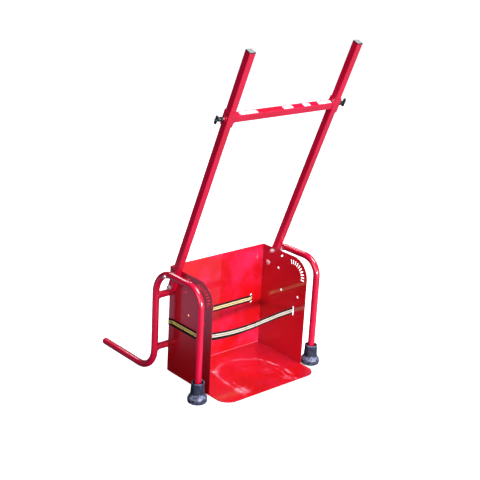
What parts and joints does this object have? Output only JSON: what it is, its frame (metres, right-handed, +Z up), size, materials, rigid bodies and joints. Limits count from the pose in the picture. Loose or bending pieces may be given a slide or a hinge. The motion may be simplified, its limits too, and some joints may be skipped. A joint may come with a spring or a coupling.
{
  "type": "tipping bucket cradle",
  "caption": "Open sheet steel cradle with a strap and two long handles, which tips in a stand of bent tube to pour out a heavy mixing bucket.",
  "frame": {"origin": "on the ground, under the centre of the bounding box", "axes": "+Z up; -Y towards the cradle's open side; +X across, to the right-hand leg as seen from the open side"},
  "size_m": [0.609, 0.7222, 1.2289],
  "materials": {
    "red_paint_tube": "glossy ruby red paint on round tube",
    "red_paint_sheet": "mirror-glossy ruby red paint on sheet steel, scuffed on the base",
    "red_paint_bar": "satin to glossy ruby red paint on square tube",
    "foot_rubber": "blue-black moulded rubber, dusty",
    "black_plastic": "black moulded plastic",
    "zinc_steel": "bright zinc plate",
    "strap_webbing": "black elastic webbing with a cream striped centre",
    "blank_label": "blank white film label"
  },
  "bodies": {
    "stand": {"leg_tube_left": "red_paint_tube", "leg_tube_right": "red_paint_tube", "cross_tube_upper": "red_paint_tube", "cross_tube_lower": "red_paint_tube", "rubber_foot_left": "foot_rubber", "rubber_foot_right": "foot_rubber", "foot_washers": "zinc_steel", "bar_end_cap_left": "red_paint_tube", "bar_end_cap_right": "red_paint_tube", "pivot_bolt_left": "zinc_steel", "pivot_bolt_right": "zinc_steel", "pivot_spacers": "zinc_steel", "pivot_washers": "zinc_steel", "pivot_nuts": "zinc_steel"},
    "cradle": {"back_panel": "red_paint_sheet", "side_panel_left": "red_paint_sheet", "side_panel_right": "red_paint_sheet", "base_plate": "red_paint_sheet", "handle_left": "red_paint_bar", "handle_right": "red_paint_bar", "handle_cap_left": "black_plastic", "handle_cap_right": "black_plastic", "handle_bolts": "zinc_steel", "handle_bolt_washers": "zinc_steel", "handle_bolt_nuts": "zinc_steel", "retaining_strap": "strap_webbing"},
    "crossbar": {"crossbar": "red_paint_bar", "crossbar_sleeve_left": "red_paint_bar", "crossbar_sleeve_right": "red_paint_bar", "clamp_nuts": "red_paint_bar", "bar_labels": "blank_label"},
    "clamp_screw_left": {"clamp_stud_left": "zinc_steel"},
    "clamp_screw_right": {"clamp_stud_right": "zinc_steel"},
    "knob_left": {"wing_knob_left": "black_plastic"},
    "knob_right": {"wing_knob_right": "black_plastic"}
  },
  "joints": [
    {"name": "cradle_tilt", "type": "hinge", "parent": "stand", "child": "cradle", "pos_m": [0, -0.02336, 0.4005], "axis": [-1, 0, 0], "range_deg": [0, 120]},
    {"name": "crossbar_slide", "type": "slide", "parent": "cradle", "child": "crossbar", "axis": [0, -0.3681, 0.9298], "range_m": [-0.52, 0.2]},
    {"name": "clamp_left_travel", "type": "slide", "parent": "crossbar", "child": "clamp_screw_left", "axis": [-1, 0, 0], "range_m": [0, 0.0026]},
    {"name": "knob_left_turn", "type": "hinge", "parent": "clamp_screw_left", "child": "knob_left", "pos_m": [-0.27, -0.2608, 1.00021], "axis": [-1, 0, 0], "range_deg": [0, 720]},
    {"name": "clamp_right_travel", "type": "slide", "parent": "crossbar", "child": "clamp_screw_right", "axis": [1, 0, 0], "range_m": [0, 0.0026]},
    {"name": "knob_right_turn", "type": "hinge", "parent": "clamp_screw_right", "child": "knob_right", "pos_m": [0.27, -0.2608, 1.00021], "axis": [1, 0, 0], "range_deg": [0, 720]}
  ],
  "couplings": [
    {"joint": "clamp_left_travel", "follows": "knob_left_turn", "m_per_rad": 0.00019894},
    {"joint": "clamp_right_travel", "follows": "knob_right_turn", "m_per_rad": 0.00019894}
  ]
}
